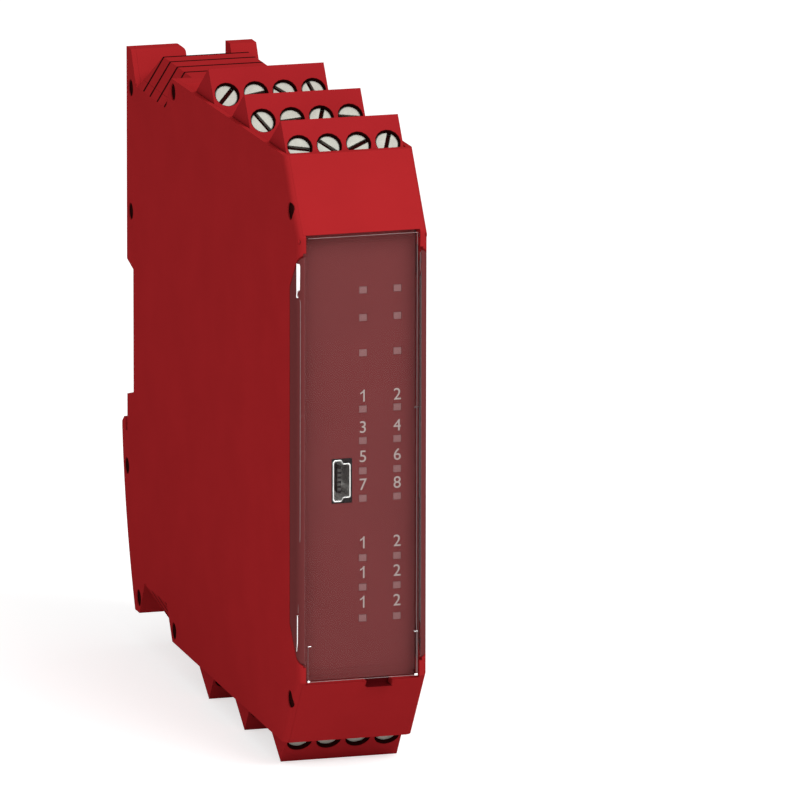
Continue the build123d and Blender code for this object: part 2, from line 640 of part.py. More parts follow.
def make_front_cover():
    """Clear cover: front sheet, two side skirts, clips, hinge hub with pins, and a lower lip."""
    half = SIDE - CHEEK_THICK - COVER_GAP
    sheet_back = -DEPTH + COVER_SHEET
    front = block(-SIDE, SIDE, -DEPTH, sheet_back, -COVER_HALF, COVER_HALF)
    body = block(-half, half, -DEPTH, sheet_back, -COVER_HALF, COVER_HALF)
    body = body + (slab(cover_skirt(), -SIDE, SIDE) & front)
    for x0 in (-SIDE, SIDE - SKIRT_SHEET):
        body = body + slab(cover_skirt(), x0, x0 + SKIRT_SHEET)
    body = body + cover_clip() + mirror(cover_clip(), about=Plane.YZ)
    body = body + block(-half, half, -DEPTH, -DEPTH + HUB_THICK, COVER_HALF - HUB_HEIGHT, COVER_HALF)
    top_edges = [e for e in body.edges().filter_by(Axis.X) if e.center().Z > COVER_HALF - 0.01]
    body = fillet(top_edges, HUB_ROUND)
    body = body + cover_lip(half) + hinge_pins(half)
    return body & front_envelope()


def make_label_panel():
    front = LEDGE_Y - LABEL_SHEET
    body = block(-LABEL_SIDE, LABEL_SIDE, front, LEDGE_Y, -LABEL_HALF, LABEL_HALF)
    for x in WINDOW_X:
        for z in WINDOW_Z:
            body = body - block(x - WINDOW_WIDTH / 2, x + WINDOW_WIDTH / 2, front - 1, LEDGE_Y + 1,
                                z - WINDOW_HEIGHT / 2, z + WINDOW_HEIGHT / 2)
    half_w = SOCKET_WIDTH / 2 + SOCKET_MARGIN
    half_h = SOCKET_HEIGHT / 2 + SOCKET_MARGIN
    return body - block(SOCKET_X - half_w, SOCKET_X + half_w, front - 1, LEDGE_Y + 1,
                        SOCKET_Z - half_h, SOCKET_Z + half_h)


def make_light_guides():
    """Twenty small clear rods that fill the label's windows."""
    half_w = WINDOW_WIDTH / 2 - LIGHT_GAP
    half_h = WINDOW_HEIGHT / 2 - LIGHT_GAP
    back = FRONT_BOARD_BACK - FRONT_BOARD_SHEET - LED_THICK
    return [block(x - half_w, x + half_w, LEDGE_Y - LABEL_SHEET, back, z - half_h, z + half_h)
            for x in WINDOW_X for z in WINDOW_Z]


def make_indicator_leds():
    back = FRONT_BOARD_BACK - FRONT_BOARD_SHEET
    return [block(x - 0.8, x + 0.8, back - LED_THICK, back, z - 0.5, z + 0.5)
            for x in WINDOW_X for z in WINDOW_Z]


def make_front_board():
    back = FRONT_BOARD_BACK
    body = block(-FRONT_BOARD_SIDE, FRONT_BOARD_SIDE, back - FRONT_BOARD_SHEET, back,
                 -FRONT_BOARD_HALF, FRONT_BOARD_HALF)
    half_w = SOCKET_WIDTH / 2 + FIT_GAP
    half_h = SOCKET_HEIGHT / 2 + FIT_GAP
    return body - block(SOCKET_X - half_w, SOCKET_X + half_w, back - 10, back + 10,
                        SOCKET_Z - half_h, SOCKET_Z + half_h)


def socket_outline(inset):
    """Five-sided shell of the service socket, wide side to the left."""
    left = SOCKET_X - SOCKET_WIDTH / 2 + inset
    right = SOCKET_X + SOCKET_WIDTH / 2 - inset
    half = SOCKET_HEIGHT / 2 - inset
    corner = 0.9
    return [(left, SOCKET_Z - half), (left, SOCKET_Z + half), (right - corner, SOCKET_Z + half),
            (right, SOCKET_Z + half - corner), (right, SOCKET_Z - half + corner),
            (right - corner, SOCKET_Z - half)]


def make_socket_shell():
    front = LEDGE_Y - LABEL_SHEET + 0.1
    outer = slab_xz(socket_outline(0), front, front + SOCKET_DEPTH)
    return outer - slab_xz(socket_outline(SOCKET_SHEET), front - 1, front + SOCKET_DEPTH - SOCKET_SHEET)


def make_socket_tongue():
    front = LEDGE_Y - LABEL_SHEET + 0.9
    back = LEDGE_Y - LABEL_SHEET + 0.1 + SOCKET_DEPTH - SOCKET_SHEET
    return block(SOCKET_X - 0.55, SOCKET_X + 0.15, front, back, SOCKET_Z - 2.2, SOCKET_Z + 2.2)


def board_outline():
    """Board outline with a tab under each header and a step for the catch channel."""
    back = -PASSAGE_DEPTH - WEB
    step_y = CHANNEL_Y - WEB - FIT_GAP
    step_z = CEILING_Z + WEB + FIT_GAP + 1.0
    front = FRONT_BOARD_BACK
    tab_end = (TIP_Z - TAB_B * COS - BOARD_HALF) / SIN
    tabs = []
    for row in reversed(range(ROWS)):
        peak = plug_point(PIN_A - 1.3, TAB_B, row_tip(row))
        tabs += [plug_point(tab_end, TAB_B, row_tip(row)), peak, (peak[0], BOARD_HALF)]
    upper = [(back, BOARD_HALF)] + tabs + [(front, BOARD_HALF)]
    lower = [(y, -z) for y, z in reversed(tabs)]
    step = [(step_y, -BOARD_HALF), (step_y, step_z), (back, step_z)]
    return upper + [(front, -BOARD_HALF)] + lower + step


def make_board(middle):
    return slab(board_outline(), middle - BOARD_SHEET / 2, middle + BOARD_SHEET / 2)


def make_bus_block():
    """Contact block on the floor of the bus passage."""
    front = -PASSAGE_DEPTH - 0.2
    body = block(BUS_LEFT, BUS_RIGHT, front - BUS_DEPTH, front, -BUS_HALF, BUS_HALF)
    for i in range(BUS_CONTACTS):
        z = (i - (BUS_CONTACTS - 1) / 2) * BUS_PITCH
        body = body - block(-2.0, 2.0, front - BUS_DEPTH + 1.2, front + 1, z - 1.0, z + 1.0)
    return body


def make_bus_contacts():
    front = -PASSAGE_DEPTH - 0.6
    back = -PASSAGE_DEPTH - 0.2 - BUS_DEPTH + 1.2
    contacts = []
    for i in range(BUS_CONTACTS):
        z = (i - (BUS_CONTACTS - 1) / 2) * BUS_PITCH
        contacts.append(block(-1.6, 1.6, back, front, z - 0.35, z + 0.35))
    return contacts


def on_board(place, face, side):
    """Block on a board's face, to the right of it (side 1) or to the left (side -1)."""
    y, z, length, height, thick = place
    x0, x1 = sorted([face, face + side * thick])
    return block(x0, x1, y - length / 2, y + length / 2, z - height / 2, z + height / 2)


def make_board_link():
    """Stacking connector between the two boards."""
    return on_board(BOARD_LINK + (BUS_RIGHT - BUS_LEFT,), BUS_LEFT, 1)


def make_chips():
    """Two controllers and a memory on the left board, output drivers on the right one."""
    left = [on_board(place, BOARD_LEFT_X - BOARD_SHEET / 2, -1) for place in LOGIC_CHIPS]
    return left + [on_board(place, BOARD_RIGHT_X + BOARD_SHEET / 2, 1) for place in DRIVER_CHIPS]


def make_capacitors():
    """Upright cans between the boards."""
    return [Plane(origin=(BUS_LEFT, y, z), z_dir=(1, 0, 0)) * small_round(CAN_RADIUS, CAN_HEIGHT)
            for y, z in CAN_PLACES]


def make_transformer():
    return on_board(TRANSFORMER, BUS_RIGHT, -1)


def make_plug(row):
    """One four-pole plug body with screw holes, wire entries and the nose."""
    nose_half = PLUG_HALF - HEADER_WALL - NOSE_GAP
    tip = row_tip(row)
    body = plug_block(0, PLUG_THICK, 0, PLUG_BODY, -PLUG_HALF, PLUG_HALF, tip)
    body = body + plug_block(NOSE_START, NOSE_START + NOSE_THICK, PLUG_BODY, NOSE_END,
                             -nose_half, nose_half, tip)
    cage_mid = CAGE_TOP + CAGE_THICK / 2
    for x in POLE_X:
        body = body - screw_hole(x, tip)
        body = body - plug_block(cage_mid - WIRE_HOLE / 2, cage_mid + WIRE_HOLE / 2, -1, CAGE_START + 1,
                                 x - WIRE_HOLE / 2, x + WIRE_HOLE / 2, tip)
        body = body - plug_block(CAGE_TOP - FIT_GAP, CAGE_TOP + CAGE_THICK + FIT_GAP, CAGE_START - FIT_GAP,
                                 CAGE_START + CAGE_LENGTH + FIT_GAP, x - CAGE_WIDTH / 2 - FIT_GAP,
                                 x + CAGE_WIDTH / 2 + FIT_GAP, tip)
        body = body - plug_block(PIN_A - 1.3, PIN_A + 0.9, CAGE_START + CAGE_LENGTH, NOSE_END + 1,
                                 x - 0.9, x + 0.9, tip)
    return body


def make_screws(row, angles):
    """Slotted clamp screws of one plug."""
    screws = []
    tip = row_tip(row)
    for x, angle in zip(POLE_X, angles):
        axis = screw_axis(SCREW_SUNK, x, tip)
        head = small_round(SCREW_HEAD / 2, HEAD_THICK)
        shank_length = CAGE_TOP + CAGE_WALL + 0.6 - SCREW_SUNK
        shank = extrude(RegularPolygon(SHANK / 2, SHANK_SIDES), shank_length)
        slot = Rot(0, 0, angle) * Box(SCREW_HEAD + 1, SLOT_WIDTH, 2 * SLOT_DEPTH)
        screws.append(axis * (head + shank - slot))
    return screws


def make_cages(row):
    """Clamp cages of one plug, each with its contact strip."""
    cages = []
    tip = row_tip(row)
    bore_half = SHANK / 2 + FIT_GAP
    for x in POLE_X:
        outer = plug_block(CAGE_TOP, CAGE_TOP + CAGE_THICK, CAGE_START, CAGE_START + CAGE_LENGTH,
                           x - CAGE_WIDTH / 2, x + CAGE_WIDTH / 2, tip)
        inner = plug_block(CAGE_TOP + CAGE_WALL, CAGE_TOP + CAGE_THICK - CAGE_WALL, CAGE_START - 1,
                           CAGE_START + CAGE_LENGTH - CAGE_WALL, x - CAGE_WIDTH / 2 + CAGE_WALL,
                           x + CAGE_WIDTH / 2 - CAGE_WALL, tip)
        bore = plug_block(CAGE_TOP - 1, CAGE_TOP + CAGE_WALL + 1, SCREW_POS - bore_half,
                          SCREW_POS + bore_half, x - bore_half, x + bore_half, tip)
        strip = plug_block(PIN_A - 1.2, PIN_A - 1.2 + CONTACT_SHEET, CAGE_START + CAGE_LENGTH - CAGE_WALL,
                           NOSE_END - 1.0, x - 0.7, x + 0.7, tip)
        cages.append(outer - inner - bore + strip)
    return cages


def make_header(row):
    """Board side of a plug: a shroud open towards the plug."""
    tip = row_tip(row)
    outer = plug_block(HEADER_START, HEADER_END, PLUG_BODY + FIT_GAP, HEADER_BOTTOM,
                       -PLUG_HALF, PLUG_HALF, tip)
    inner = plug_block(HEADER_START + HEADER_WALL, HEADER_END - HEADER_WALL, PLUG_BODY - 1,
                       HEADER_BOTTOM - HEADER_FLOOR, -PLUG_HALF + HEADER_WALL, PLUG_HALF - HEADER_WALL, tip)
    body = outer - inner
    for x in POLE_X:
        body = body - plug_block(PIN_A - PIN_SIZE / 2, PIN_A + PIN_SIZE / 2,
                                 HEADER_BOTTOM - HEADER_FLOOR - 1, HEADER_BOTTOM + 1,
                                 x - PIN_SIZE / 2, x + PIN_SIZE / 2, tip)
    return body


def make_pins(row):
    """Header pins: up into the plug, down past the board's edge, and sideways onto the board."""
    tip = row_tip(row)
    half = PIN_SIZE / 2
    tail_b = TAB_B + 0.8 + PIN_SIZE
    pins = []
    for i, x in enumerate(POLE_X):
        board = BOARD_LEFT_X if i < POLES / 2 else BOARD_RIGHT_X
        side = 1 if x > board else -1
        face = board + side * BOARD_SHEET / 2
        start = NOSE_END - PIN_REACH
        pin = plug_block(PIN_A - half, PIN_A + half, start, tail_b, x - half, x + half, tip)
        reach = sorted([face, x])
        foot = plug_block(PIN_A - half, PIN_A + half, tail_b - PIN_SIZE, tail_b, reach[0], reach[1], tip)
        pins.append(pin + foot)
    return pins


def make_rail_catch():
    """Sliding catch: lip behind the rail's lower edge, head, leg and pull slot."""
    top = -RAIL_EDGE - CATCH_CLEAR
    lip_y = RAIL_SHEET + SLIDE_GAP
    lip_top = top + CATCH_LIP_RISE
    leg_back = -CATCH_FRONT + CATCH_LEG
    points = [(-CATCH_FRONT, top), (lip_y, top), (lip_y, lip_top), (lip_y + CATCH_LIP_FLAT, lip_top),
              (lip_y + CATCH_LIP, top), (lip_y + CATCH_LIP - CATCH_TAPER, HEAD_LOW),
              (leg_back, HEAD_LOW), (leg_back, -CATCH_TAIL), (-CATCH_FRONT, -CATCH_TAIL)]
    body = slab(points, -CATCH_HALF, CATCH_HALF)
    slot_low = -CATCH_TAIL + PULL_SLOT_EDGE
    return body - block(-PULL_SLOT_HALF, PULL_SLOT_HALF, -CATCH_FRONT - 1, leg_back + 1,
                        slot_low, slot_low + PULL_SLOT_HEIGHT)


def make_catch_spring():
    """Zigzag wire spring that pushes the catch up."""
    half = SPRING_WIRE / 2
    steps = 2 * SPRING_TURNS
    rise = (SPRING_LENGTH - SPRING_WIRE) / steps
    y = -CATCH_FRONT + CATCH_LEG + SLIDE_GAP + WEB + SPRING_RADIUS
    places = [(SPRING_RADIUS * (-1) ** i, SHELF_TOP + half + i * rise) for i in range(steps + 1)]
    bars = [slab_xz([(x0, z0 - half), (x0, z0 + half), (x1, z1 + half), (x1, z1 - half)],
                    y - half, y + half)
            for (x0, z0), (x1, z1) in zip(places, places[1:])]
    spring = bars[0]
    for bar in bars[1:]:
        spring = spring + bar
    return spring


def save(name, shape):
    if isinstance(shape, list):
        shape = Compound(children=shape)
    export_step(shape, f"parts/{name}.step")


def main():
    os.makedirs("parts", exist_ok=True)
    save("housing", make_housing())
    save("side_cover", make_side_cover())
    save("front_cover", make_front_cover())
    save("label_panel", make_label_panel())
    save("light_guides", make_light_guides())
    save("indicator_leds", make_indicator_leds())
    save("front_board", make_front_board())
    save("socket_shell", make_socket_shell())
    save("socket_tongue", make_socket_tongue())
    save("logic_board", make_board(BOARD_LEFT_X))
    save("power_board", make_board(BOARD_RIGHT_X))
    save("board_link", make_board_link())
    save("chips", make_chips())
    save("capacitors", make_capacitors())
    save("transformer", make_transformer())
    save("bus_block", make_bus_block())
    save("bus_contacts", make_bus_contacts())
    save("rail_catch", make_rail_catch())
    save("catch_spring", make_catch_spring())
    for row in range(ROWS):
        number = row + 1
        for level, slots, place in [("top", TOP_SLOTS, None), ("bottom", BOTTOM_SLOTS, flip)]:
            groups = {"plug": [make_plug(row)],
                      "plug_screws": make_screws(row, slots[row]),
                      "clamp_cages": make_cages(row),
                      "header": [make_header(row)],
                      "header_pins": make_pins(row)}
            for name, solids in groups.items():
                placed = [place(s) for s in solids] if place else solids
                save(f"{name}_{level}_{number}", placed)


main()
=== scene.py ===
import json
import math

import bmesh
import bpy
from mathutils import Matrix, Vector

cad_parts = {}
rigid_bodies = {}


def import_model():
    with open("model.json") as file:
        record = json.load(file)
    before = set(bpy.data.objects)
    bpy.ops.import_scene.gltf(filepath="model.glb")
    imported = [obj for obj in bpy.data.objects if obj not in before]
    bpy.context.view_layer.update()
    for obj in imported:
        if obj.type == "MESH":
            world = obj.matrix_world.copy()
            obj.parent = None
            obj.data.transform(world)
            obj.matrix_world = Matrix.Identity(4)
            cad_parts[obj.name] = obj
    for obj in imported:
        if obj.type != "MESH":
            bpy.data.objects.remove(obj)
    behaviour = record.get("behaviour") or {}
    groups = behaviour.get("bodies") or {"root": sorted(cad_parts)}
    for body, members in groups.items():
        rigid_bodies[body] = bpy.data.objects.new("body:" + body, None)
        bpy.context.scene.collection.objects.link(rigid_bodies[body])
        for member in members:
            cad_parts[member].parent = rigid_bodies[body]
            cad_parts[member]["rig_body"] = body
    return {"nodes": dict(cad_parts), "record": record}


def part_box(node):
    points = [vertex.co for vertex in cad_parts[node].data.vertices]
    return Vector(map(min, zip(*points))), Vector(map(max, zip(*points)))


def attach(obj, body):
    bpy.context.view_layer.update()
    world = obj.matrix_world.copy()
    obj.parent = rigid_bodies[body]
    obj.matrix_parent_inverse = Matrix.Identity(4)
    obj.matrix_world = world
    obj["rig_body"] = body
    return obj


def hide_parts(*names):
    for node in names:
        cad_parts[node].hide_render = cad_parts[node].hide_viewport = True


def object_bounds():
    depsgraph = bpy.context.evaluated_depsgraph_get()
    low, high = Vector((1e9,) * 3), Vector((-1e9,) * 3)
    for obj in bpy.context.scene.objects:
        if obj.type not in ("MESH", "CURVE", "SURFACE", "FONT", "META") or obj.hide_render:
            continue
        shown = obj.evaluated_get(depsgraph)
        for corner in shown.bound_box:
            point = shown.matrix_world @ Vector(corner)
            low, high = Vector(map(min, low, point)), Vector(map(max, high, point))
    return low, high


# Sizes are in millimetres unless a name says otherwise. Blender works in metres.
MM = 0.001

# Camera, fitted to the photograph
AZIMUTH = -15.933           # degrees, 0 looks along +Y
ELEVATION = 12.95
DISTANCE = 2333.3           # from the look-at point
LOOK_AT = (0.0, -57.0, 0.0)
SENSOR = 36.0               # width of the camera's sensor
FOCAL_PX = 13742.0          # focal length in pixels of the frame
FRAME_PX = 800.0
LOOK_PX = (279.7, 392.6)    # where the look-at point lands in the frame

# Label panel, measured in the part's frame
PANEL_FRONT = -105.2        # y of the panel's printed face
PRINT_THICK = 0.03
DIGIT_HEIGHT = 2.05
DIGIT_COLUMNS = (0.65, 6.6)
DIGIT_ROWS = ((10.1, "12"), (4.8, "34"), (-0.2, "56"), (-5.0, "78"),
              (-15.0, "12"), (-20.1, "12"), (-25.2, "12"))

# The digit 1 with its flag, in parts of the font's size
ONE = ((0.373, 0.0), (0.285, 0.0), (0.285, 0.56), (0.20, 0.495), (0.109, 0.447), (0.109, 0.532),
       (0.20, 0.585), (0.269, 0.643), (0.316, 0.719), (0.373, 0.719))
ONE_MIDDLE = 0.27
CAP_HEIGHT = 0.72           # height of a digit in parts of the font's size

# Service socket: x and z from its middle
SOCKET_MID = (-3.0, -4.25)
SHELL_OUTLINE = ((-1.55, 3.25), (-1.25, 3.6), (-0.1, 3.6), (0.3, 2.95), (1.3, 2.95), (1.55, 2.7),
                 (1.55, -2.7), (1.3, -2.95), (0.3, -2.95), (-0.1, -3.6), (-1.25, -3.6), (-1.55, -3.25))
SHELL_INSET = (0.86, 0.94)  # inner outline as a share of the outer one
SHELL_FRONT = 0.05          # shell's front edge behind the printed face
SHELL_DEPTH = 8.4
SHELL_SHEET = 0.3
GASKET = ((-1.79, -1.56, -3.83, 3.83), (1.56, 1.79, -3.83, 3.83), (-1.56, 1.56, 3.61, 3.83),
          (-1.56, 1.56, -3.83, -3.61), (0.31, 1.56, 2.96, 3.61), (0.31, 1.56, -3.61, -2.96))
GASKET_FRONT = 0.12
GASKET_DEPTH = 2.0
CONTACT_COUNT = 5
CONTACT_PITCH = 0.8
# A contact's boxes: x0, x1 from the tongue's side, y0, y1 from its front, and half the height
CONTACT_BARS = ((-0.05, 0.06, 0.2, 4.0, 0.2), (-0.65, -0.05, -0.04, 0.2, 0.22))

# Terminal plugs: upper corner of the front plug, and where the screws sit in it
TILT = math.radians(35.0)
TIP_Y = -93.155
TIP_Z = 55.0
ROW_PITCH = 22.3
POLES = 4
POLE_PITCH = 5.08
SCREW_DOWN = 4.9            # screw axis from the plug's corner, along the screw face
SCREW_SUNK = 0.7
HEAD_RADIUS = 1.98
HEAD_EDGE = 0.14            # chamfer round the head
SLOT_HALF = 0.36
SLOT_DEPTH = 0.8
HEAD_THICK = 1.5
SHANK_RADIUS = 1.28
SHANK_END = 6.9
ARC_STEPS = 14              # steps in half a circle of a head
SHADE_SHORT = 0.1           # painted shade on a slot's floor: how far it ends inside the head,
SHADE_NARROW = 0.01         # how far inside the slot's walls,
SHADE_THICK = 0.04          # and its thickness
# Slot angle of each screw in degrees, left to right, for each row from the front to the back
SLOTS = {"top": ((-10, -40, 24, 70), (-57, 5, 70, -8), (46, 10, -36, -70)),
         "bottom": ((20, -15, 8, -30), (65, 40, -55, 12), (-25, 75, 30, -60))}

# Painted shade lining the screw holes: radius and depth below the plug's face
WELL_SHADE_RINGS = ((2.155, 1.6), (2.155, 0.06), (2.09, 0.06), (2.09, 1.6))

# Painted shade lines of the louvres at the back corners: up or down, and the y of each line
LOUVRE_LINES = ((1, (-10.95, -15.2, -19.8, -24.4)), (-1, (-15.75, -20.0, -24.6)))
LINE_HALF = 0.36
LINE_PROUD = 0.01           # a line stands this far off the surface
LINE_DEEP = 0.3             # thickness of a line
LINE_SHORT = 0.05           # a line ends this far inside the side faces
LINE_MITRE = 0.1            # the flat part's lower edge ends this far before the chamfer
SIDE = 11.25                # half the housing's width
TOP = 49.5                  # half its height at the back
CHAMFER_WIDTH = 3.65
CHAMFER_DROP = 5.9

# Label ends: half width, front, and near and far height of each step
PANEL_STEPS = ((9.7, PANEL_FRONT, (36.42, 37.3)), (9.55, -105.15, (37.3, 38.2)))
PANEL_BACK = -104.22

# Painted shade on the opener's notch, its floor and its back: x0, x1, y0, y1, z0, z1
NOTCH_SHADES = ((0.8, 5.2, -107.35, -104.75, -39.43, -39.38),
               (0.8, 5.2, -104.8, -104.72, -39.38, -38.4))

# Blind holes in the left wall: y and z of each axis, and the painted shade that lines them
SIDE_HOLES = ((-2.75, 42.7), (-2.6, 20.9), (-30.1, 47.4), (-102.7, 41.7),
              (0.35, -25.0), (-7.2, -46.9), (-30.1, -47.4), (-102.7, -41.7))
HOLE_SHADE_RINGS = ((1.46, 0.45), (1.46, 0.2), (1.42, 0.2), (1.42, 0.4))    # radius, depth
HOLE_SHADE_SIDES = 16

# Caps over the hinge holes: y and z of the axis, and radius and x of each ring
HINGE = (-106.7, 37.3)
CAP_RINGS = ((0.54, 10.88), (0.54, 11.06), (0.46, 11.12))
CAP_SIDES = 24

COVER_FRONT = -107.5
# Painted highlights along the moulded edges of the clear cover: x0, x1, z0, z1 on its front
EDGE_HIGHLIGHTS = ((-9.5, 9.5, 37.82, 37.9), (-9.5, 9.5, -37.9, -37.82), (9.3, 9.4, -37.7, 37.7),
              (9.85, 9.93, 31.2, 34.5), (9.48, 9.56, -37.6, -30.3), (-9.52, -9.46, -37.6, -31.7))
EDGE_SUNK = 0.02            # an edge line starts this far behind the cover's front
EDGE_DEEP = 0.1

# Painted glints on its corners and clips: x0, x1, y0, y1, z0, z1
GLINTS = ((9.0, 9.57, -107.49, -107.2, -37.92, -37.6), (-9.57, -9.15, -107.49, -107.25, -37.92, -37.6),
          (9.0, 9.57, -107.48, -107.2, -30.38, -30.26), (-9.55, -8.95, -107.48, -107.2, -31.78, -31.68),
          (9.5, 10.9, -105.6, -105.4, 7.6, 7.74), (-10.9, -10.1, -106.9, -106.7, 7.6, 7.74))
# Painted glints along its rounded left edge: z of the lower and upper end, first and last angle
ROUND_GLINTS = ((27.8, 33.6, 9.0, 50.0), (-32.6, -26.4, 20.0, 30.0))
# Painted highlight along its rounded left edge, in the same columns
ROUND_HIGHLIGHTS = ((-26.0, 27.5, 50.0, 56.0),)
EDGE_ROUND = 1.2            # radius of the cover's rounded edges
PATCH_STEPS = 5
PATCH_RADII = (EDGE_ROUND + 0.004, EDGE_ROUND - 0.05)   # outer and inner face of a patch
PATCH_SHOULDER = 0.25       # where a patch reaches its full width, as a share of its length
PATCH_TIP = 0.4             # length of its upper end
PATCH_TAPER = (0.6, 0.95, 1.0, 0.9)                     # its width from the lower to the upper end

# Painted shade on the clear cover, dark and nearly opaque where the shaded red walls show through its side
# walls: x or y at the start and the full strength
DARK_BESIDE = (10.02, 10.12)
DARK_FRONT = (-105.2, -105.5)
DARK_SKIRT = (11.0, 11.1)

# Surface detail: size of its features, and depth of the grain
BUMP_STRENGTH = 0.35
GRAIN_DETAIL = 4.0
BEVEL_RAYS = 6
DRIFT_ENDS = (0.3, 0.7)     # noise values where a colour is darkest and lightest
PLASTIC_DRIFT = 9.0
PLASTIC_GRAIN = (0.25, 0.012)
METAL_DRIFT = 1.1
METAL_STAINS = 0.08         # share by which stains change the colour
METAL_GRAIN = (0.12, 0.01)
METAL_EDGE = 0.12
COVER_WAVES = (25.0, 0.01)
COVER_EDGE = 0.3
BOARD_GREEN = (0.010, 0.045, 0.025)
TRACK_GREEN = (0.016, 0.085, 0.045)
TRACK_SCALE = 260.0
TRACK_WANDER = 3.0
BOARD_GRAIN = (0.5, 0.02)

# CAD meshes: corners closer than this (metres) are joined, flatter edges look smooth
WELD_GAP = 1e-6
SMOOTH_ANGLE = math.radians(28)

# Room and lights
WORLD_LIGHT = 0.5           # brightness of the white room where it lights surfaces
FLOOR_GLOW = 0.62           # added to the floor where it is looked at
FLOOR_GREY = (0.72, 0.72, 0.72)
FLOOR_HALF = 12.0           # metres
CLIP = (0.1, 100.0)         # nearest and farthest distance the camera sees, in metres
# Name, place, size and power in watts
LIGHTS = (("key", (350.0, -750.0, 850.0), 600.0, 7.5), ("fill", (-700.0, -700.0, 200.0), 700.0, 1.5))

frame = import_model()
cad_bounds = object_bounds()
nodes = frame["nodes"]


def value(node, name, setting):
    node.inputs[name].default_value = setting


def new_material(name, colour, roughness, metallic=0.0):
    """Material with its Principled shader; returns (material, nodes, links, shader)."""
    made = bpy.data.materials.new(name)
    made.use_nodes = True
    tree = made.node_tree
    shader = tree.nodes["Principled BSDF"]
    value(shader, "Base Color", (*colour, 1.0))
    value(shader, "Roughness", roughness)
    value(shader, "Metallic", metallic)
    return made, tree.nodes, tree.links, shader


def noise(tree_nodes, links, size, detail=2.0):
    """Noise texture whose features are size mm across."""
    place = tree_nodes.new("ShaderNodeTexCoord")
    made = tree_nodes.new("ShaderNodeTexNoise")
    value(made, "Scale", 1.0 / (size * MM))
    value(made, "Detail", detail)
    links.new(place.outputs["Object"], made.inputs["Vector"])
    return made.outputs["Fac"]


def shade(colour, factor):
    return tuple(min(1.0, c * factor) for c in colour)


def tint(tree_nodes, links, shader, colour, spread, size):
    """Colour that drifts a little from place to place."""
    ramp = tree_nodes.new("ShaderNodeValToRGB")
    shares = (1.0 - spread, 1.0 + spread)
    for element, position, share in zip(ramp.color_ramp.elements, DRIFT_ENDS, shares):
        element.position = position
        element.color = (*shade(colour, share), 1.0)
    links.new(noise(tree_nodes, links, size), ramp.inputs["Fac"])
    links.new(ramp.outputs["Color"], shader.inputs["Base Color"])


def grain(tree_nodes, links, shader, size, depth, edge=0.0):
    """Fine surface grain, over edges that are softened by a radius of edge mm."""
    bump = tree_nodes.new("ShaderNodeBump")
    value(bump, "Strength", BUMP_STRENGTH)
    value(bump, "Distance", depth * MM)
    links.new(noise(tree_nodes, links, size, GRAIN_DETAIL), bump.inputs["Height"])
    if edge:
        bevel = tree_nodes.new("ShaderNodeBevel")
        bevel.samples = BEVEL_RAYS
        value(bevel, "Radius", edge * MM)
        links.new(bevel.outputs["Normal"], bump.inputs["Normal"])
    links.new(bump.outputs["Normal"], shader.inputs["Normal"])


def plastic(name, colour, roughness, edge=0.0, spread=0.03, gloss=0.0):
    """Moulded plastic with a spark-eroded grain."""
    made, tree_nodes, links, shader = new_material(name, colour, roughness)
    value(shader, "Specular IOR Level", gloss)
    tint(tree_nodes, links, shader, colour, spread, PLASTIC_DRIFT)
    grain(tree_nodes, links, shader, *PLASTIC_GRAIN, edge)
    return made


def plated(name, colour, roughness, metallic=0.85):
    """Plated steel: fine turning marks and small stains."""
    made, tree_nodes, links, shader = new_material(name, colour, roughness, metallic)
    tint(tree_nodes, links, shader, colour, METAL_STAINS, METAL_DRIFT)
    grain(tree_nodes, links, shader, *METAL_GRAIN, METAL_EDGE)
    return made


def step_mask(tree_nodes, links, source, start, end):
    """0 before start and 1 after end, both in mm along a coordinate in metres."""
    ramp = tree_nodes.new("ShaderNodeMapRange")
    value(ramp, "From Min", start * MM)
    value(ramp, "From Max", end * MM)
    links.new(source, ramp.inputs["Value"])
    return ramp.outputs["Result"]


def maths(tree_nodes, links, operation, *sources):
    node = tree_nodes.new("ShaderNodeMath")
    node.operation = operation
    for socket, source in zip(node.inputs, sources):
        links.new(source, socket)
    return node.outputs["Value"]


def mixed(tree_nodes, links, factor, first, second):
    """Colour between two fixed colours."""
    mix = tree_nodes.new("ShaderNodeMixRGB")
    mix.inputs["Color1"].default_value = (*first, 1.0)
    mix.inputs["Color2"].default_value = (*second, 1.0)
    links.new(factor, mix.inputs["Fac"])
    return mix.outputs["Color"]


def clear(name, colour, alpha, shaded_colour, shaded_alpha):
    """Clear plastic without gloss, with painted shade that makes it darker along its side walls, and faint
    moulding waves.
    """
    made, tree_nodes, links, shader = new_material(name, colour, 0.08)
    value(shader, "Specular IOR Level", 0.0)
    place = tree_nodes.new("ShaderNodeTexCoord")
    parts = tree_nodes.new("ShaderNodeSeparateXYZ")
    links.new(place.outputs["Object"], parts.inputs["Vector"])
    across = maths(tree_nodes, links, "ABSOLUTE", parts.outputs["X"])
    beside = step_mask(tree_nodes, links, across, *DARK_BESIDE)
    front = step_mask(tree_nodes, links, parts.outputs["Y"], *DARK_FRONT)
    corner = maths(tree_nodes, links, "MULTIPLY", beside, front)
    skirt = step_mask(tree_nodes, links, across, *DARK_SKIRT)
    mask = maths(tree_nodes, links, "MAXIMUM", corner, skirt)
    links.new(mixed(tree_nodes, links, mask, colour, shaded_colour), shader.inputs["Base Color"])
    solid = tree_nodes.new("ShaderNodeMapRange")
    value(solid, "To Min", alpha)
    value(solid, "To Max", shaded_alpha)
    links.new(mask, solid.inputs["Value"])
    links.new(solid.outputs["Result"], shader.inputs["Alpha"])
    grain(tree_nodes, links, shader, *COVER_WAVES, COVER_EDGE)
    made.surface_render_method = "BLENDED"
    return made


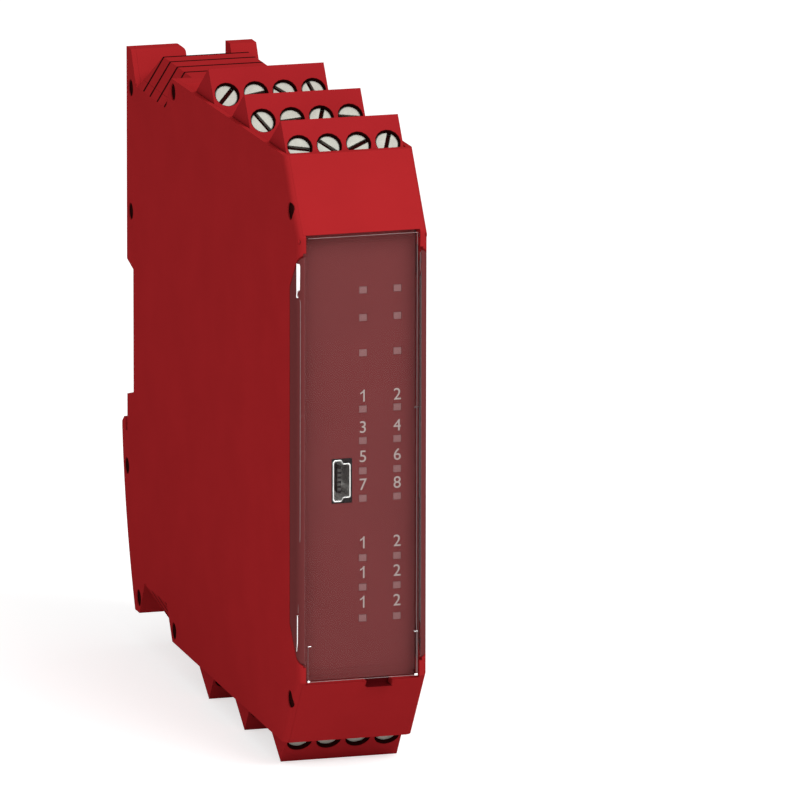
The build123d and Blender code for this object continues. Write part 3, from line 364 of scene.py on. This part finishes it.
def board_material(name):
    """Lacquered circuit board with faint copper tracks."""
    made, tree_nodes, links, shader = new_material(name, BOARD_GREEN, 0.35)
    wave = tree_nodes.new("ShaderNodeTexWave")
    place = tree_nodes.new("ShaderNodeTexCoord")
    value(wave, "Scale", TRACK_SCALE)
    value(wave, "Distortion", TRACK_WANDER)
    ramp = tree_nodes.new("ShaderNodeValToRGB")
    ramp.color_ramp.elements[0].color = (*BOARD_GREEN, 1.0)
    ramp.color_ramp.elements[1].color = (*TRACK_GREEN, 1.0)
    links.new(place.outputs["Object"], wave.inputs["Vector"])
    links.new(wave.outputs["Fac"], ramp.inputs["Fac"])
    links.new(ramp.outputs["Color"], shader.inputs["Base Color"])
    grain(tree_nodes, links, shader, *BOARD_GRAIN)
    return made


# plastic: colour, roughness, softened edge, share of drift; plated: colour, roughness, metallic
MATERIALS = {
    "housing_red": plastic("moulded red", (0.40, 0.019, 0.022), 0.55, 0.15),
    "plug_red": plastic("plug red", (0.38, 0.018, 0.022), 0.55, 0.12),
    # painted shade along the clear cover's side walls
    "clear_cover": clear("clear cover", (0.30, 0.20, 0.20), 0.03, (0.18, 0.040, 0.041), 0.95),
    "label_red": plastic("label", (0.20, 0.042, 0.043), 0.6, 0.0, 0.02),
    "light_guide": plastic("light guide", (0.31, 0.15, 0.15), 0.4, 0.0, 0.02),
    # mirror patches that paint glints on the clear cover's corners and clips
    "glint": plated("painted glint", (0.95, 0.93, 0.93), 0.06, 1.0),
    # mirror strips that paint highlights along the clear cover's edges
    "edge_highlight": plated("painted edge highlight", (0.22, 0.14, 0.14), 0.3, 1.0),
    # dark plastic that paints shade into screw holes, slots, louvre lines and side holes
    "painted_shade": plastic("painted shade", (0.03, 0.004, 0.004), 0.7, 0.0, 0.1),
    "shade_red": plastic("red in shade", (0.10, 0.004, 0.006), 0.7, 0.0, 0.1),
    "contact_grey": plastic("contact grey", (0.10, 0.10, 0.095), 0.4, 0.0, 0.1),
    "board": board_material("board"),
    "socket_steel": plated("socket steel", (0.8, 0.8, 0.78), 0.25),
    "spring_steel": plated("spring steel", (0.45, 0.45, 0.44), 0.3),
    "screw_steel": plated("screw steel", (0.40, 0.40, 0.35), 0.5, 0.25),
    "contact_brass": plated("contact brass", (0.62, 0.52, 0.30), 0.3),
    "can_aluminium": plated("can aluminium", (0.72, 0.72, 0.74), 0.35),
    "black_plastic": plastic("black plastic", (0.010, 0.010, 0.011), 0.45, gloss=0.1),
    "header_plastic": plastic("header plastic", (0.02, 0.02, 0.021), 0.5, 0.1, gloss=0.3),
    "catch_plastic": plastic("catch plastic", (0.03, 0.03, 0.031), 0.5, 0.1, gloss=0.3),
    "grey_plastic": plastic("grey plastic", (0.16, 0.16, 0.165), 0.5, 0.1, gloss=0.3),
    "print": plastic("print", (0.50, 0.42, 0.40), 0.6, 0.0, 0.03)}


def dress_nodes():
    """Gives every CAD node its material and smooth curved faces."""
    for part in frame["record"]["subparts"]:
        node = nodes[part["node"]]
        node.data.materials.clear()
        node.data.materials.append(MATERIALS[part["material_slot"]])
        for face in node.data.polygons:
            face.use_smooth = True
        weld = node.modifiers.new("weld", "WELD")
        weld.merge_threshold = WELD_GAP
        split = node.modifiers.new("split", "EDGE_SPLIT")
        split.split_angle = SMOOTH_ANGLE


def piece(name, mesh, material, body="module"):
    """Adds a mesh as a piece that rides on a body."""
    mesh.materials.clear()
    mesh.materials.append(MATERIALS[material])
    made = bpy.data.objects.new(name, mesh)
    bpy.context.scene.collection.objects.link(made)
    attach(made, body)
    return made


def add_box(mesh, x0, x1, y0, y1, z0, z1):
    """Adds a box in mm to a bmesh."""
    size = Vector((x1 - x0, y1 - y0, z1 - z0)) * MM
    middle = Vector((x0 + x1, y0 + y1, z0 + z1)) * MM / 2
    place = Matrix.Translation(middle) @ Matrix.Diagonal((*size, 1.0))
    bmesh.ops.create_cube(mesh, size=1.0, matrix=place)


def to_mesh(name, made):
    mesh = bpy.data.meshes.new(name)
    made.to_mesh(mesh)
    made.free()
    return mesh


def solid_piece(name, made, material, body="module"):
    """Adds a bmesh as a piece, with its faces turned outwards."""
    bmesh.ops.recalc_face_normals(made, faces=made.faces)
    return piece(name, to_mesh(name, made), material, body)


def bridge(made, low, high):
    """Adds the faces between two rings of vertices."""
    for i, corner in enumerate(low):
        j = (i + 1) % len(low)
        made.faces.new((corner, low[j], high[j], high[i]))


def ring_rows(made, rings):
    return [[made.verts.new(point) for point in ring] for ring in rings]


def loft(made, rings):
    """Adds the closed solid through rings that have equal numbers of points."""
    rows = ring_rows(made, rings)
    for low, high in zip(rows, rows[1:]):
        bridge(made, low, high)
    made.faces.new(rows[0])
    made.faces.new(rows[-1])


def tube(made, rings):
    """Adds the hollow solid through rings, with the last ring joined to the first."""
    rows = ring_rows(made, rings)
    for low, high in zip(rows, rows[1:] + rows[:1]):
        bridge(made, low, high)


def one_mesh():
    """The digit 1, flat, standing on the X axis with its middle at the origin."""
    made = bmesh.new()
    size = DIGIT_HEIGHT * MM / CAP_HEIGHT
    loft(made, [[Vector(((x - ONE_MIDDLE) * size, y * size, z * MM)) for x, y in ONE]
                for z in (-PRINT_THICK, PRINT_THICK)])
    return to_mesh("one", made)


def digit_mesh(text):
    """Mesh of one printed digit, flat, standing on the X axis with its middle at the origin."""
    if text == "1":
        return one_mesh()
    curve = bpy.data.curves.new("digit", "FONT")
    curve.body = text
    curve.align_x = "CENTER"
    curve.size = DIGIT_HEIGHT * MM / CAP_HEIGHT
    curve.extrude = PRINT_THICK * MM
    holder = bpy.data.objects.new("digit", curve)
    bpy.context.scene.collection.objects.link(holder)
    bpy.context.view_layer.update()
    mesh = bpy.data.meshes.new_from_object(holder.evaluated_get(bpy.context.evaluated_depsgraph_get()))
    bpy.data.objects.remove(holder)
    return mesh


def panel_numbers():
    """Plain numbers above the indicator windows."""
    made = bmesh.new()
    for z, pair in DIGIT_ROWS:
        for x, text in zip(DIGIT_COLUMNS, pair):
            mesh = digit_mesh(text)
            place = Vector((x, PANEL_FRONT, z - DIGIT_HEIGHT / 2)) * MM
            mesh.transform(Matrix.Translation(place) @ Matrix.Rotation(math.radians(90), 4, "X"))
            made.from_mesh(mesh)
            bpy.data.meshes.remove(mesh)
    piece("panel_numbers", to_mesh("panel_numbers", made), "print")


def socket_ring(y, inset=(1.0, 1.0)):
    """The socket shell's outline at a place in y, in metres."""
    return [Vector((SOCKET_MID[0] + x * inset[0], y, SOCKET_MID[1] + z * inset[1])) * MM
            for x, z in SHELL_OUTLINE]


def socket_body():
    """Drawn steel shell of the service socket: a cup that is open to the front."""
    made = bmesh.new()
    front = PANEL_FRONT + SHELL_FRONT
    back = front + SHELL_DEPTH
    loft(made, [socket_ring(back), socket_ring(front), socket_ring(front, SHELL_INSET),
                socket_ring(back - SHELL_SHEET, SHELL_INSET)])
    shell = solid_piece("socket_body", made, "socket_steel")
    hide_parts("socket_shell")


def socket_gasket():
    """Black collar that fills the panel's opening around the socket."""
    made = bmesh.new()
    front = PANEL_FRONT + GASKET_FRONT
    x, z = SOCKET_MID
    for x0, x1, z0, z1 in GASKET:
        add_box(made, x + x0, x + x1, front, front + GASKET_DEPTH, z + z0, z + z1)
    piece("socket_gasket", to_mesh("socket_gasket", made), "black_plastic")


def socket_contacts():
    """Contact strips on the socket's tongue."""
    made = bmesh.new()
    low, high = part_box("socket_tongue")
    x = high[0] / MM
    front = low[1] / MM
    for i in range(CONTACT_COUNT):
        z = SOCKET_MID[1] + (i - (CONTACT_COUNT - 1) / 2) * CONTACT_PITCH
        for x0, x1, y0, y1, half in CONTACT_BARS:
            add_box(made, x + x0, x + x1, front + y0, front + y1, z - half, z + half)
    piece("socket_contacts", to_mesh("socket_contacts", made), "contact_grey")


def circle(radius, count):
    return [(radius * math.cos(math.tau * i / count), radius * math.sin(math.tau * i / count))
            for i in range(count)]


def half_head(radius, side):
    """Outline of a screw head's half beside its slot."""
    start = math.asin(SLOT_HALF / radius)
    angles = [start + (math.pi - 2 * start) * i / ARC_STEPS for i in range(ARC_STEPS + 1)]
    return [(side * radius * math.cos(a), side * radius * math.sin(a)) for a in angles]


def sunk_ring(place, outline, depth):
    """An outline at a depth below the XY plane of a matrix."""
    return [place @ (Vector((x, y, -depth)) * MM) for x, y in outline]


def add_screw(made, place, slot_angle):
    """Adds a slotted screw whose axis is the local Z of a matrix, with the plug's face at z = 0."""
    turn = place @ Matrix.Rotation(math.radians(slot_angle), 4, "Z")
    slot_floor = SCREW_SUNK + SLOT_DEPTH
    head_back = SCREW_SUNK + HEAD_THICK
    for side in (-1, 1):
        inner = half_head(HEAD_RADIUS - HEAD_EDGE, side)
        outer = half_head(HEAD_RADIUS, side)
        loft(made, [sunk_ring(turn, inner, SCREW_SUNK), sunk_ring(turn, outer, SCREW_SUNK + HEAD_EDGE),
                    sunk_ring(turn, outer, slot_floor)])
    disc = circle(HEAD_RADIUS, 4 * ARC_STEPS)
    loft(made, [sunk_ring(turn, disc, slot_floor), sunk_ring(turn, disc, head_back)])
    shank = circle(SHANK_RADIUS, 2 * ARC_STEPS)
    loft(made, [sunk_ring(turn, shank, head_back), sunk_ring(turn, shank, SHANK_END)])


def screw_place(level, row, pole):
    """Matrix from a screw's own axes (right, up the plug's face, outwards) to the frame."""
    up = 1 if level == "top" else -1
    across = Vector((1.0, 0.0, 0.0))
    along = Vector((0.0, math.sin(TILT), up * math.cos(TILT)))
    out = Vector((0.0, -math.cos(TILT), up * math.sin(TILT)))
    corner = Vector(((pole - (POLES - 1) / 2) * POLE_PITCH, TIP_Y + row * ROW_PITCH, up * TIP_Z))
    middle = (corner - along * SCREW_DOWN) * MM
    return Matrix.Translation(middle) @ Matrix((across, along, out)).transposed().to_4x4()


def plug_screws(level, row):
    """The four clamp screws of a plug."""
    made = bmesh.new()
    for pole, angle in enumerate(SLOTS[level][row]):
        add_screw(made, screw_place(level, row, pole), angle)
    name = f"{level}_{row + 1}"
    screws = solid_piece(f"screws_{name}", made, "screw_steel",
                         nodes[f"plug_screws_{name}"]["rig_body"])
    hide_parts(f"plug_screws_{name}")


def add_slot_shade(made, place, slot_angle):
    """Adds painted shade on the floor of a screw's slot."""
    turn = place @ Matrix.Rotation(math.radians(slot_angle), 4, "Z")
    length = HEAD_RADIUS - SHADE_SHORT
    width = SLOT_HALF - SHADE_NARROW
    outline = [(-length, -width), (length, -width), (length, width), (-length, width)]
    depth = SCREW_SUNK + SLOT_DEPTH
    loft(made, [sunk_ring(turn, outline, depth), sunk_ring(turn, outline, depth - SHADE_THICK)])


def screw_well_shades(level, row):
    """Painted shade: dark linings of a plug's screw holes and slots."""
    made = bmesh.new()
    for pole, slot_angle in enumerate(SLOTS[level][row]):
        place = screw_place(level, row, pole)
        add_slot_shade(made, place, slot_angle)
        tube(made, [sunk_ring(place, circle(radius, 4 * ARC_STEPS), depth) for radius, depth in WELL_SHADE_RINGS])
    name = f"{level}_{row + 1}"
    solid_piece(f"screw_well_shades_{name}", made, "painted_shade", nodes[f"plug_{name}"]["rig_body"])


def add_louvre_line(made, y, up):
    """Adds a line of painted shade across the flat and down both chamfers of a back corner."""
    half = SIDE - CHAMFER_WIDTH
    slope = CHAMFER_DROP / CHAMFER_WIDTH
    top = TOP + LINE_PROUD
    end_x = SIDE - LINE_SHORT
    end_z = top - slope * (end_x - half)
    profile = [(half, top), (end_x, end_z), (end_x, end_z - LINE_DEEP * math.hypot(1, slope)),
               (half - LINE_MITRE, top - LINE_DEEP)]
    outline = profile + [(-x, z) for x, z in reversed(profile)]
    loft(made, [[Vector((x, edge_y, up * z)) * MM for x, z in outline]
                for edge_y in (y - LINE_HALF, y + LINE_HALF)])


def louvre_shades():
    """Painted shade lines of the louvres at both back corners."""
    made = bmesh.new()
    for up, lines in LOUVRE_LINES:
        for y in lines:
            add_louvre_line(made, y, up)
    solid_piece("louvre_shades", made, "painted_shade")


def panel_ends():
    """Ends of the label behind the cover's hub and lip, each with a step."""
    made = bmesh.new()
    for side in (-1, 1):
        for half, front, (near, far) in PANEL_STEPS:
            z0, z1 = sorted((side * near, side * far))
            add_box(made, -half, half, front, PANEL_BACK, z0, z1)
    piece("panel_ends", to_mesh("panel_ends", made), "label_red")


def notch_shade():
    """Painted shade on the floor and back of the opener's notch below the cover."""
    made = bmesh.new()
    for box in NOTCH_SHADES:
        add_box(made, *box)
    piece("notch_shade", to_mesh("notch_shade", made), "shade_red")


def side_ring(x, axis, outline):
    """An outline round an axis that runs across the part, at a place in x."""
    return [Vector((x, axis[0] + y, axis[1] + z)) * MM for y, z in outline]


def side_hole_shades():
    """Painted shade: dark linings of the blind holes in the left wall."""
    made = bmesh.new()
    for axis in SIDE_HOLES:
        loft(made, [side_ring(depth - SIDE, axis, circle(radius, HOLE_SHADE_SIDES))
                    for radius, depth in HOLE_SHADE_RINGS])
    solid_piece("side_hole_shades", made, "painted_shade")


def hinge_caps():
    """Caps that close the hinge holes in both side walls."""
    made = bmesh.new()
    for side in (-1, 1):
        loft(made, [side_ring(side * x, HINGE, circle(radius, CAP_SIDES)) for radius, x in CAP_RINGS])
    solid_piece("hinge_caps", made, "housing_red")


def rounded_patch(made, z0, z1, first, last):
    """Adds a thin patch on the cover's rounded left edge between two angles from the side face."""
    turns = [math.radians(first + (last - first) * i / PATCH_STEPS) for i in range(PATCH_STEPS + 1)]
    outer, inner = PATCH_RADII

    def arc(radius, angles, z):
        return [Vector((-SIDE + EDGE_ROUND - radius * math.cos(t),
                        COVER_FRONT + EDGE_ROUND - radius * math.sin(t), z)) * MM for t in angles]

    rings = []
    for z, taper in zip((z0, z0 + PATCH_SHOULDER * (z1 - z0), z1 - PATCH_TIP, z1), PATCH_TAPER):
        angles = [t * taper for t in turns]
        rings.append(arc(outer, angles, z) + arc(inner, angles, z)[::-1])
    loft(made, rings)


def cover_edge_highlights():
    """Painted highlights: thin mirror strips on the moulded edges of the clear cover, in place of the light
    they catch.
    """
    made = bmesh.new()
    front = COVER_FRONT + EDGE_SUNK
    for x0, x1, z0, z1 in EDGE_HIGHLIGHTS:
        add_box(made, x0, x1, front, front + EDGE_DEEP, z0, z1)
    for line in ROUND_HIGHLIGHTS:
        rounded_patch(made, *line)
    solid_piece("cover_edge_highlights", made, "edge_highlight", "cover")


def cover_glints():
    """Painted glints: mirror patches on the corners of the clear cover and of its clips, in place of their
    highlights.
    """
    made = bmesh.new()
    for box in GLINTS:
        add_box(made, *box)
    for patch in ROUND_GLINTS:
        rounded_patch(made, *patch)
    solid_piece("cover_glints", made, "glint", "cover")


def seen_rays(tree_nodes, links):
    """1 for the rays of the camera, of reflections and of what is seen through clear material."""
    ray = tree_nodes.new("ShaderNodeLightPath")
    direct = maths(tree_nodes, links, "MAXIMUM", ray.outputs["Is Camera Ray"], ray.outputs["Is Glossy Ray"])
    return maths(tree_nodes, links, "MAXIMUM", direct, ray.outputs["Is Transmission Ray"])


def floor_material():
    """Pale floor: white to the camera, with the object's shadow."""
    made, tree_nodes, links, shader = new_material("floor", FLOOR_GREY, 0.8)
    value(shader, "Specular IOR Level", 0.0)
    glow = tree_nodes.new("ShaderNodeEmission")
    seen = seen_rays(tree_nodes, links)
    links.new(mixed(tree_nodes, links, seen, (0.0, 0.0, 0.0), (FLOOR_GLOW,) * 3), glow.inputs["Color"])
    both = tree_nodes.new("ShaderNodeAddShader")
    links.new(shader.outputs["BSDF"], both.inputs[0])
    links.new(glow.outputs["Emission"], both.inputs[1])
    links.new(both.outputs["Shader"], tree_nodes["Material Output"].inputs["Surface"])
    return made


def add_floor():
    """Adds the floor that the part stands on."""
    made = bmesh.new()
    bmesh.ops.create_grid(made, x_segments=1, y_segments=1, size=FLOOR_HALF)
    floor = bpy.data.objects.new("floor", to_mesh("floor", made))
    floor.location.z = cad_bounds[0][2]
    floor.data.materials.append(floor_material())
    bpy.context.scene.collection.objects.link(floor)


def add_world():
    """White to the camera and in gloss, softer where it lights surfaces."""
    world = bpy.data.worlds.new("studio")
    bpy.context.scene.world = world
    world.use_nodes = True
    tree = world.node_tree
    strength = tree.nodes.new("ShaderNodeMapRange")
    value(strength, "To Min", WORLD_LIGHT)
    value(strength, "To Max", 1.0)
    tree.links.new(seen_rays(tree.nodes, tree.links), strength.inputs["Value"])
    tree.links.new(strength.outputs["Result"], tree.nodes["Background"].inputs["Strength"])
    value(tree.nodes["Background"], "Color", (1.0, 1.0, 1.0, 1.0))


def add_light(name, place, size, power):
    """Square area light at place (mm), aimed at the object."""
    lamp = bpy.data.lights.new(name, "AREA")
    lamp.size = size * MM
    lamp.energy = power
    made = bpy.data.objects.new(name, lamp)
    made.location = Vector(place) * MM
    aim = Vector(LOOK_AT) * MM - made.location
    made.rotation_euler = aim.to_track_quat("-Z", "Y").to_euler()
    bpy.context.scene.collection.objects.link(made)


def add_camera():
    lens = bpy.data.cameras.new("camera")
    lens.sensor_width = SENSOR
    lens.lens = FOCAL_PX / FRAME_PX * SENSOR
    lens.shift_x = 0.5 - LOOK_PX[0] / FRAME_PX
    lens.shift_y = LOOK_PX[1] / FRAME_PX - 0.5
    lens.clip_start, lens.clip_end = CLIP
    made = bpy.data.objects.new("camera", lens)
    turn = math.radians(AZIMUTH)
    rise = math.radians(ELEVATION)
    back = Vector((math.sin(turn) * math.cos(rise), -math.cos(turn) * math.cos(rise), math.sin(rise)))
    made.location = (Vector(LOOK_AT) + back * DISTANCE) * MM
    made.rotation_euler = (-back).to_track_quat("-Z", "Y").to_euler()
    bpy.context.scene.collection.objects.link(made)
    bpy.context.scene.camera = made


def main():
    dress_nodes()
    panel_numbers()
    socket_body()
    socket_gasket()
    socket_contacts()
    for level in SLOTS:
        for row in range(len(SLOTS[level])):
            plug_screws(level, row)
            screw_well_shades(level, row)
    louvre_shades()
    panel_ends()
    notch_shade()
    side_hole_shades()
    hinge_caps()
    cover_edge_highlights()
    cover_glints()
    add_floor()
    add_world()
    for light in LIGHTS:
        add_light(*light)
    add_camera()
    bpy.context.scene.view_settings.view_transform = "Standard"


main()
